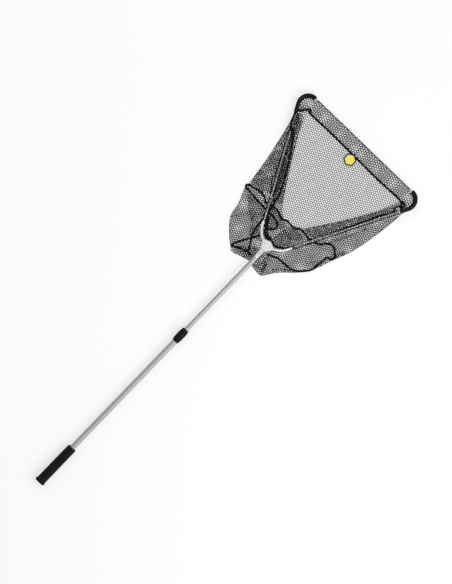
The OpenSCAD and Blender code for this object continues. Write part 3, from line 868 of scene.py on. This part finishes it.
class LANDINGNET_OT_arm_sleeves(bpy.types.Operator):
    """Netting sleeves round both arms, bound along their inner edge"""

    bl_idname = "landingnet.arm_sleeves"
    bl_label = "Arm sleeves"

    def execute(self, context):
        props = context.scene.net_bag
        thread = netting_thread(props.colour)
        cell = props.cell / MM
        for side, word in SIDES.items():
            threads = Threads(props.thread, props.thread_height)
            stations, depths = HEM_DEPTH[side]
            end = ARM_RUN - TIP_SOCKET - 2

            def wrap(p, radius):
                """From (along, round) on the cloth to the wrapped sleeve, and its width there."""
                s, t = p[:, 0], p[:, 1]
                depth = np.interp(s, stations, depths)
                slope, turn = np.hypot(depth, AXIS_Z - HEM_Z), math.pi * radius
                angle = math.pi / 2 - np.clip((t - slope) / turn, 0, 1) * math.pi
                on_top = np.clip(t / slope, 0, 1)
                below = np.clip((t - slope - turn) / slope, 0, 1)
                o = radius * np.cos(angle)
                z = AXIS_Z + radius * np.sin(angle)
                o = np.where(below > 0, -depth * below, o)
                o = np.where(t < slope, -depth * (1 - on_top), o)
                z = np.where(t < slope, HEM_Z + (AXIS_Z + radius - HEM_Z) * on_top ** 0.8, z)
                low = AXIS_Z - radius
                z = np.where(below > 0, low + (HEM_Z - 0.8 - low) * below, z)
                out = np.array([beside(a, b) for a, b in zip(s, o)])
                return np.column_stack([out[:, 0], out[:, 1] * side, z]), slope * 2 + turn

            for radius, gather, turn, whole in SLEEVE_LAYERS:
                a, b = comb((BARE_ARM * gather, -8), (end * gather, 110), cell, turn, (0, 0))
                for p in (a, b):
                    p[:, 0] /= gather
                (a3, total_a), (b3, total_b) = wrap(a, radius), wrap(b, radius)
                good = (a[:, 1] > 0) & (b[:, 1] > 0) & (a[:, 1] < total_a) & (b[:, 1] < total_b)
                good &= np.minimum(a[:, 0], b[:, 0]) > BARE_ARM
                good &= np.maximum(a[:, 0], b[:, 0]) < end
                margin = 0 if whole else np.interp(a[:, 0], stations, depths)
                good &= np.minimum(a[:, 1], b[:, 1]) > margin
                good &= np.maximum(a[:, 1], b[:, 1]) < total_a - margin
                axis = np.array([beside(s, 0) for s in a[good][:, 0]])
                axis = np.column_stack([axis[:, 0], axis[:, 1] * side, np.full(len(axis), AXIS_Z)])
                outward = (a3[good] + b3[good]) / 2 - axis
                outward[:, 2] += 0.01
                threads.add(a3[good], b3[good], outward / np.linalg.norm(outward, axis=1)[:, None])
                threads.cloth += good.sum() * cell * cell / (2 * math.sqrt(3))
            # the turned-in mouth of the sleeve
            mouth_r = ARM_D / 2 + 1.1
            for s in (BARE_ARM - 1.5, BARE_ARM, BARE_ARM + 1.6):
                ring = []
                for q in np.linspace(0, 2 * math.pi, 15):
                    x, y = beside(s, mouth_r * math.cos(q))
                    ring.append((x, y * side, AXIS_Z + mouth_r * math.sin(q)))
                threads.add_line(np.array(ring), (0, 0.3, 1))
            finish_netting(
                threads, "arm_sleeve", side, thread, 700, "gathered", [f"hem_{word}"],
                [f"arm_{word}"], folds=False,
            )
        return {"FINISHED"}


# How much wider the meshes of the stretched band stand than those of the laid netting
BAND_STRETCH = 1.06
# How far inside the tip's bend the band is trimmed, and where it ends on the cord
BESIDE_TIP, BAND_END_Y = 9, 252
# Heights of the band's two layers where they leave the front tape
BAND_TOP_Z, BAND_LOW_Z = 4.5, 2.6


class LANDINGNET_OT_front_band(bpy.types.Operator):
    """Double band of netting from the front tape round the cord and back"""

    bl_idname = "landingnet.front_band"
    bl_label = "Front band"

    def execute(self, context):
        props = context.scene.net_bag
        thread = netting_thread(props.colour)
        radius = CORD_D / 2 + 0.9
        cell = props.cell / MM * BAND_STRETCH
        for side, word in SIDES.items():
            threads = Threads(props.thread, props.thread_height)
            front_x = CORD_X + radius - 0.4
            tip_arc = [
                tuple(TIP_CENTRE + (TIP_BEND_R - BESIDE_TIP) * heading(q))
                for q in np.radians(np.arange(112, 5, -14))
            ]
            closing = tip_arc + [(CORD_X - 9, 268), (CORD_X - 6, 258), (front_x, BAND_END_Y)]
            outline = [(TAPE_FRONT_X - 2, 0), (TAPE_FRONT_X - 2, 262), (486, 273), (472, 286)]
            outline += closing + [(front_x, 0)]

            def rise(p):
                share = np.clip((p[:, 0] - TAPE_FRONT_X) / (CORD_X - TAPE_FRONT_X), 0, 1)
                under_tip = 1 - ease(distance(TIP_LINE, p), 10, 25)
                dip = 0.28 + 0.25 * ease(p[:, 0], TIP_CENTRE[0], TIP_CENTRE[0] + 25)
                return share * (1 - under_tip) + dip * under_tip, share

            def upper(p):
                up, share = rise(p)
                wave = 1.2 * np.sin(math.pi * share) * ripple(p, 31, 80)
                return BAND_TOP_Z + (AXIS_Z + radius - BAND_TOP_Z) * up + wave

            def lower(p):
                up, share = rise(p)
                sag = 0.66 * np.sin(math.pi * share)
                wave = np.sin(math.pi * share) * ripple(p, 32, 80)
                return BAND_LOW_Z + (AXIS_Z - radius - BAND_LOW_Z) * up - sag + wave

            lay(threads, side, outline, cell, upper, 0.05, (1, 0), 0.8, 33, round_off=False)
            lay(threads, side, outline, cell, lower, -0.07, (4, 0), 0.8, 35, round_off=False)
            for height in (upper, lower):
                line = smooth_line(closing, 3)
                threads.add_line(np.column_stack([line * (1, side), height(line)]))
            # the threads that turn round the cord
            ys = np.arange(2, BAND_END_Y, props.cell / MM / 2)
            step = math.pi / 4
            for angle in np.linspace(-math.pi / 2, math.pi / 2, 5)[:-1]:
                arcs = []
                for q in (angle, angle + step):
                    x, z = CORD_X + radius * math.cos(q), AXIS_Z + radius * math.sin(q)
                    every = np.ones(len(ys))
                    arcs.append(np.column_stack([x * every, ys * side, z * every]))
                threads.add(*arcs, (1, 0, 0.01))
            finish_netting(
                threads, "front_band", side, thread, 300, "stretched", ["net_front"],
                [f"front_cord_{word}"],
            )
        return {"FINISHED"}


# ---- Binding tapes: routes in the hub's frame, y to the left, z up ----
TAPES = {
    "tape_front": dict(replaces=["tape_front"], split=True, route=[
        (478, 281, 13), (492, 272, 11), (508, 262, 8.5), (515, 254, 7), (510, 246, 6),
        (503, 240, 5), (504, 190, 4.8), (505, 130, 5.2), (504, 60, 5), (503, 0, 4.8), (502, -60, 5),
        (501, -130, 5.2), (502, -190, 4.8), (504, -235, 5), (502, -262, 6.5), (500, -280, 9.5),
    ]),
    "tape_corner_right": dict(side=RIGHT, route=[
        (506, -268, 10.5), (503, -280, 11), (497, -288, 11.5), (490, -282, 11.5), (492, -270, 10.5),
    ]),
    "tape_side_left": dict(side=LEFT, replaces=["tape_left"], route=[
        (470, 288, 31.1), (456, 284, 30.9), (443, 280, 30.5), (430, 275, 29.9), (418, 266, 30.9),
        (407, 256, 31.1), (396, 241, 25.5), (386, 226, 15), (358, 205, 11.8), (328, 185, 11.4),
        (290, 162, 11.6), (253, 139, 12), (216, 122, 12.2), (181, 106, 12.4), (150, 98, 12.6),
        (131, 95, 12.8), (97, 85, 12.6), (66, 66, 12), (36, 45, 11), (27, 32, 10.5), (24, 20, 10),
        (27, 8, 9.5), (28, 0, 9.5),
    ]),
    "tape_side_right": dict(side=RIGHT, replaces=["tape_right"], route=[
        (490, -284, 12), (480, -268, 11.8), (462, -266, 11.8), (443, -273, 12), (425, -262, 11.8),
        (405, -243, 11.5), (372, -228, 11.5), (341, -215, 11.6), (295, -192, 11.8), (249, -170, 12),
        (224, -157, 12.2), (199, -145, 12.3), (168, -133, 12.4), (137, -122, 12.5),
        (108, -106, 12.6), (80, -86, 12.4), (50, -62, 12), (30, -40, 11), (23, -24, 10),
        (23, -14, 9.6), (27, -6, 9.5), (28, 0, 9.5),
    ]),
    "tape_rear": dict(replaces=["tape_rear"], split=True, route=[
        (128, 108, 9), (133, 88, 9.6), (133, 68, 9.8), (124, 46, 8.8), (119, 31, 8), (124, 21, 7.6),
        (130, 12, 7.6), (129, -6, 7.6), (129, -24, 7.8), (134, -38, 8.4), (143, -50, 9),
        (142, -78, 10), (138, -105, 10.6), (141, -116, 11),
    ]),
    "tape_loop_left": dict(side=LEFT, route=[
        (101, 92, 12), (104, 112, 13), (106, 150, 14.5), (110, 190, 12), (113, 220, 6.5),
        (119, 228, 4.5), (127, 223, 6.5), (133, 200, 12.5), (138, 175, 15.5), (138, 150, 14.5),
        (131, 134, 13.5), (123, 122, 12.5), (126, 110, 12), (124, 100, 11.5),
    ]),
    "tape_nose_left": dict(side=LEFT, route=[
        (92, 76, 11.4), (70, 61, 11), (48, 44, 10.6), (36, 30, 10.2), (33, 18, 9.8), (36, 6, 9.4),
    ]),
    "tape_under_bend": dict(side=LEFT, route=[
        (102, 92, 10.5), (104, 77, 10.3), (103, 55, 9.8), (97, 36, 9.2), (89, 25, 8.8),
        (78, 22, 8.4), (66, 28, 8.6), (57, 38, 9), (46, 44, 9.6),
    ]),
    "tape_tail_outer": dict(side=LEFT, replaces=["seam_tape_left"], route=[
        (66, 86, 12.2), (42, 84, 12.6), (18, 80, 12.6), (-5, 74, 12), (-18, 67, 11.5),
        (-26, 62, 11), (-40, 53, 10), (-55, 45, 9.4), (-67, 39, 9), (-70, 28, 8.4), (-66, 18, 8.2),
    ]),
    "tape_tail_cross": dict(side=LEFT, route=[
        (10, 52, 10.6), (-4, 58, 11.2), (-18, 66, 12.6), (-40, 80, 12.8), (-62, 92, 11),
        (-84, 103, 7), (-95, 106, 4.5), (-92, 96, 7), (-84, 82, 9.4), (-78, 68, 10.2),
        (-75, 54, 10), (-70, 42, 9.8),
    ]),
    "tape_lobe_right": dict(side=RIGHT, replaces=["seam_tape_right"], route=[
        (-22, -22, 10), (-17, -34, 10.8), (-10, -50, 12), (-4, -66, 13), (-2, -96, 15),
        (0, -128, 15.5), (8, -148, 12), (21, -166, 7.5), (42, -186, 6), (62, -197, 6.2),
        (82, -200, 7), (101, -201, 7.4), (120, -202, 7.8), (135, -206, 7.6), (139, -216, 6.4),
        (146, -226, 5), (158, -227, 5), (170, -216, 8.5), (180, -203, 12), (184, -190, 14.5),
        (181, -177, 15.4), (170, -163, 15.6), (156, -152, 15), (147, -140, 14), (142, -128, 13.4),
    ]),
}


# Spacing of the points along a tape
STRAP_STEP = 3.0


def strap_section(width, thickness):
    """Flat tape folded over the netting's edge: thick at its rims, thinner where it is sewn."""
    w, t = width / 2, thickness / 2
    left = [(-w, 0), (-w * 0.93, t * 0.8), (-w * 0.8, t), (-w * 0.62, t * 0.62)]
    top = left + [(0, t * 0.9)] + [(-x, z) for x, z in left[::-1]]
    return top + [(x, -z) for x, z in top[-2:0:-1]]


def spaced(line, step):
    """The same line with points that far apart."""
    lengths = np.concatenate([[0], np.cumsum(np.linalg.norm(np.diff(line, axis=0), axis=1))])
    at = np.linspace(0, lengths[-1], max(3, int(lengths[-1] / step) + 1))
    return np.column_stack([np.interp(at, lengths, line[:, k]) for k in range(3)])


def strap(name, route, width, thickness, seed):
    """A binding tape along a route, slightly uneven in width and tilt."""
    line = spaced(smooth_line(route, 8), STRAP_STEP)
    draw = np.random.default_rng(seed)
    phase = draw.uniform(0, 6.3, 4)
    at = np.arange(len(line)) * STRAP_STEP
    tilt = 0.22 * np.sin(at / 17 + phase[0]) + 0.16 * np.sin(at / 7.3 + phase[1])
    grow = 1 + 0.07 * np.sin(at / 11 + phase[2]) + 0.05 * np.sin(at / 5 + phase[3])
    way, across, up = directions(line)
    section = strap_section(width, thickness)
    points = []
    for i, p in enumerate(line):
        right = across[i] * math.cos(tilt[i]) + up[i] * math.sin(tilt[i])
        top = np.cross(right, way[i])
        points += [p + u * grow[i] * right + v * top for u, v in section]
    return make_object(name, points, tube_faces(len(line), len(section)))


class LANDINGNET_OT_tapes(bpy.types.Operator):
    """Binding tapes along the bag's mouth and seams"""

    bl_idname = "landingnet.tapes"
    bl_label = "Binding tapes"

    def execute(self, context):
        props = context.scene.net_tape
        weave = woven_tape(props.colour)
        for number, (name, tape) in enumerate(TAPES.items()):
            piece = strap(name, tape["route"], props.width / MM, props.thickness / MM, 50 + number)
            give(piece, weave)
            if tape.get("split"):
                pieces = split_and_follow(piece, name).values()
            else:
                follow_arm(piece, tape["side"])
                pieces = [piece]
            for each in pieces:
                if "replaces" in tape:
                    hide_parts(*tape["replaces"])
        return {"FINISHED"}


# ---- The badge ----
BADGE_GROWN, BADGE_CORNER, BADGE_DARK = 2.2, 3, (0.022, 0.02, 0.004)
BADGE_RIM = ((0, 0), (0, 1.2), (0.9, 1.9), (5.4, 1.9), (6.4, 1.3))
BADGE_FACE = ((6.6, 0.9), (6.6, 1.5), (7.8, 1.9))


class LANDINGNET_OT_badge(bpy.types.Operator):
    """Six-sided moulded badge with a raised rim and a bare face"""

    bl_idname = "landingnet.badge"
    bl_label = "Badge"

    def execute(self, context):
        low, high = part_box("badge_rim")
        centre = np.array([((low[0] + high[0]) / 2 - HUB_X_M) / MM, 0.0])
        reach = (high[0] - low[0]) / 2 / MM + BADGE_GROWN
        base = low[2] / MM

        def ring(radius, z, corner):
            """A six-sided ring with rounded corners."""
            out = []
            for k in range(6):
                spot = heading(k * math.pi / 3) * (radius - corner * 2 / math.sqrt(3))
                for q in np.linspace(-math.pi / 6, math.pi / 6, 5):
                    out.append((*(centre + spot + corner * heading(k * math.pi / 3 + q)), z))
            return out

        def stack(name, rings, material, node):
            points = [p for r in rings for p in r]
            piece = make_object(name, points, tube_faces(len(rings), len(rings[0])), smooth=False)
            give(piece, material)
            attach(piece, "head")
            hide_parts(node)

        # each ring: how far inside the edge, and how high above the base
        rim = [ring(reach - inset, base + up, BADGE_CORNER) for inset, up in BADGE_RIM]
        face = [ring(reach - inset, base + up, BADGE_CORNER) for inset, up in BADGE_FACE]
        yellow = badge_face(context.scene.net_finish.yellow)
        stack("badge_border", rim, badge_dark(BADGE_DARK), "badge_rim")
        stack("badge_panel", face, yellow, "badge_face")
        return {"FINISHED"}


# ---- The handle ----
def lengthwise_ribs(name, profile, body, material):
    """Raised ribs along a turned piece. profile holds (x, radius) pairs in the hub's frame."""
    points, faces = [], []
    for k in range(LOCK_RIBS):
        middle = 2 * math.pi * k / LOCK_RIBS
        start = len(points)
        for x, r in profile:
            half, top = RIB_WIDTH / 2 / r, r + RIB_HEIGHT
            root, inner = r - 0.4, half * 0.7
            for turn, reach in ((-half, root), (-inner, top), (inner, top), (half, root)):
                angle = middle + turn
                points.append((x, reach * math.cos(angle), AXIS_Z + reach * math.sin(angle)))
        for i in range(len(profile) - 1):
            for j in range(4):
                a, b = start + i * 4 + j, start + i * 4 + (j + 1) % 4
                faces.append((a, b, b + 4, a + 4))
        last = start + (len(profile) - 1) * 4
        faces.append((start, start + 3, start + 2, start + 1))
        faces.append((last, last + 1, last + 2, last + 3))
    piece = make_object(name, points, faces, smooth=False)
    give(piece, material)
    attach(piece, body)


# The ribs of the lock and the grip
RIB_END_R, RIB_STEP_R, LOCK_RIBS, RIB_WIDTH, RIB_HEIGHT = 13.85, 15.1, 26, 1.5, 0.55
GRIP_REAR_R, GRIP_FRONT_R, GRIP_RIB_STEP, GRIP_SIDES = 19.5, 19.0, 4.0, 48
GRIP_RIB = ((-1.3, -0.25), (-0.8, 0.4), (0.8, 0.4), (1.3, -0.25))


def span(node):
    """A handle piece's rear end, front end and radius, in hub-frame millimetres."""
    low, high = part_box(node)
    return (low[0] - HUB_X_M) / MM, (high[0] - HUB_X_M) / MM, (high[2] - low[2]) / 2 / MM


class LANDINGNET_OT_handle(bpy.types.Operator):
    """Finishes of the tubes, the twist lock and the grip, with their ribs"""

    bl_idname = "landingnet.handle"
    bl_label = "Handle"

    def execute(self, context):
        props = context.scene.net_finish
        finish_nodes(drawn_tube("drawn_outer_tube", props.tube, 0.5, 0.6), "outer_tube")
        inner = drawn_tube("drawn_inner_tube", props.tube, 0.46, 0.6)
        finish_nodes(inner, "inner_tube", "tube_ferrule")
        grip, lock = ribbed_grip(props.black), moulded_black("lock_moulding", props.black, 0.4, 900)
        finish_nodes(grip, "grip_sleeve")
        cap = moulded_black("butt_rubber", props.black, 0.7, 1200)
        finish_nodes(cap, "butt_cap", "tube_plug")
        finish_nodes(lock, "lock_base", "lock_collar", "foot_bush")
        finish_nodes(collet_white(), "lock_collet")
        rear, _, radius = span("lock_base")
        split = (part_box("lock_collar")[0][0] - HUB_X_M) / MM
        end = span("lock_collar")[1]
        base = [
            (rear + 3, RIB_END_R), (rear + 12, RIB_STEP_R),
            (split - 9, radius - 0.8), (split - 4, radius - 0.1),
        ]
        collar = [
            (split + 4, radius - 0.1), (split + 9, radius - 0.8),
            (end - 12, RIB_STEP_R), (end - 3, RIB_END_R),
        ]
        lengthwise_ribs("lock_base_ribs", base, "handle", lock)
        lengthwise_ribs("lock_collar_ribs", collar, "lock", lock)
        rear, front, _ = span("grip_sleeve")
        points, faces, sides = [], [], GRIP_SIDES
        for x in np.arange(rear + 6, front - 8, GRIP_RIB_STEP):
            r = GRIP_REAR_R + (GRIP_FRONT_R - GRIP_REAR_R) * (x - rear) / (front - rear)
            start = len(points)
            for dx, dr in GRIP_RIB:
                points += [(x + dx, (r + dr) * math.cos(q), AXIS_Z + (r + dr) * math.sin(q))
                           for q in np.arange(sides) * 2 * math.pi / sides]
            for i in range(4):
                j = (i + 1) % 4
                here, there = start + i * sides, start + j * sides
                for k in range(sides):
                    after = (k + 1) % sides
                    faces.append((here + k, here + after, there + after, there + k))
        ribs = make_object("grip_ribs", points, faces)
        give(ribs, grip)
        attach(ribs, "handle")
        return {"FINISHED"}


class LANDINGNET_OT_metalwork(bpy.types.Operator):
    """Finishes of the hub, link, pins and arms"""

    bl_idname = "landingnet.metalwork"
    bl_label = "Metalwork"

    def execute(self, context):
        props = context.scene.net_finish
        cast = cast_metal("polished_casting", props.cast, 0.28)
        finish_nodes(cast, "hub_base", "hub_cover", "fold_link", "arm_eye_left", "arm_eye_right")
        steel = cast_metal("turned_steel", (0.55, 0.55, 0.56), 0.3)
        finish_nodes(steel, "hub_screws", "arm_pins", "fold_pin", "link_rivet")
        arm = drawn_tube("bright_arm_tube", props.cast, 0.3, 0.25)
        finish_nodes(arm, "arm_left", "arm_right")
        return {"FINISHED"}


class LANDINGNET_OT_corners(bpy.types.Operator):
    """Finish of the moulded corner tips"""

    bl_idname = "landingnet.corners"
    bl_label = "Corner tips"

    def execute(self, context):
        black = moulded_black("corner_moulding", context.scene.net_finish.black, 0.45, 1100)
        finish_nodes(black, "corner_tip_left", "corner_tip_right")
        return {"FINISHED"}


# ---- Stage ----
def camera_sees(tree, shader, kind, output, share=None):
    """Mixes a plain glow over a shader, for the camera only, by that share or wholly."""
    nodes, links = tree.nodes, tree.links
    glow = nodes.new("ShaderNode" + kind)
    mixed, path = nodes.new("ShaderNodeMixShader"), nodes.new("ShaderNodeLightPath")
    amount = path.outputs["Is Camera Ray"]
    if share is not None:
        times = nodes.new("ShaderNodeMath")
        times.operation = "MULTIPLY"
        times.inputs[1].default_value = share
        links.new(amount, times.inputs[0])
        amount = times.outputs[0]
    links.new(amount, mixed.inputs[0])
    links.new(shader.outputs[0], mixed.inputs[1])
    links.new(glow.outputs[0], mixed.inputs[2])
    links.new(mixed.outputs[0], nodes[output].inputs["Surface"])
    return glow


class LANDINGNET_OT_stage(bpy.types.Operator):
    """Plain pale floor, soft sky and lamps"""

    bl_idname = "landingnet.stage"
    bl_label = "Stage"

    def execute(self, context):
        props = context.scene.net_stage
        bpy.ops.mesh.primitive_plane_add(size=30, location=(0, 0, -0.0002))
        floor = context.object
        floor.name = "floor"
        material = bpy.data.materials.new("pale_floor")
        material.use_nodes = True
        shader = material.node_tree.nodes["Principled BSDF"]
        shader.inputs["Base Color"].default_value = (0.95, 0.95, 0.95, 1)
        shader.inputs["Roughness"].default_value = 0.9
        shader.inputs["Specular IOR Level"].default_value = 0.1
        tree, share = material.node_tree, 1 - props.shade
        glow = camera_sees(tree, shader, "Emission", "Material Output", share)
        glow.inputs["Strength"].default_value = 1.04
        floor.data.materials.append(material)
        world = bpy.data.worlds.new("sky")
        world.use_nodes = True
        sky = world.node_tree.nodes["Background"]
        sky.inputs["Color"].default_value = (1, 1, 1, 1)
        sky.inputs["Strength"].default_value = props.sky
        white = camera_sees(world.node_tree, sky, "Background", "World Output")
        white.inputs["Color"].default_value = (1, 1, 1, 1)
        context.scene.world = world
        for name, place, size, power in (
            ("lamp_main", (0.4, -2.4, 2.6), 2.2, props.lamp),
            ("lamp_back", (1.8, 2.0, 2.4), 1.6, props.lamp * 0.3),
        ):
            data = bpy.data.lights.new(name, "AREA")
            data.size = size
            data.energy = power
            lamp = bpy.data.objects.new(name, data)
            lamp.location = place
            lamp.rotation_euler = (-Vector(place)).to_track_quat("-Z", "Y").to_euler()
            context.scene.collection.objects.link(lamp)
        context.scene.view_settings.view_transform = "Standard"
        return {"FINISHED"}


OPERATORS = (
    LANDINGNET_OT_camera, LANDINGNET_OT_front_cord, LANDINGNET_OT_floor_netting,
    LANDINGNET_OT_folded_netting, LANDINGNET_OT_arm_sleeves, LANDINGNET_OT_front_band,
    LANDINGNET_OT_tapes, LANDINGNET_OT_badge, LANDINGNET_OT_handle, LANDINGNET_OT_metalwork,
    LANDINGNET_OT_corners, LANDINGNET_OT_stage,
)


class LANDINGNET_PT_panel(bpy.types.Panel):
    """Lists the sizes and the building steps of the landing net"""

    bl_idname = "LANDINGNET_PT_panel"
    bl_label = "Landing Net"
    bl_space_type = "VIEW_3D"
    bl_region_type = "UI"
    bl_category = "Landing Net"

    def draw(self, context):
        for name, group in PROPS.items():
            for prop in group.__annotations__:
                self.layout.prop(getattr(context.scene, name), prop)
        for operator in OPERATORS:
            self.layout.operator(operator.bl_idname)


CLASSES = (*PROPS.values(), *OPERATORS, LANDINGNET_PT_panel)


def register():
    for each in CLASSES:
        bpy.utils.register_class(each)
    for name, group in PROPS.items():
        setattr(bpy.types.Scene, name, bpy.props.PointerProperty(type=group))


def unregister():
    for name in PROPS:
        delattr(bpy.types.Scene, name)
    for each in reversed(CLASSES):
        bpy.utils.unregister_class(each)


def main():
    register()
    for operator in OPERATORS:
        group, call = operator.bl_idname.split(".")
        getattr(getattr(bpy.ops, group), call)()


if __name__ == "__main__":
    main()
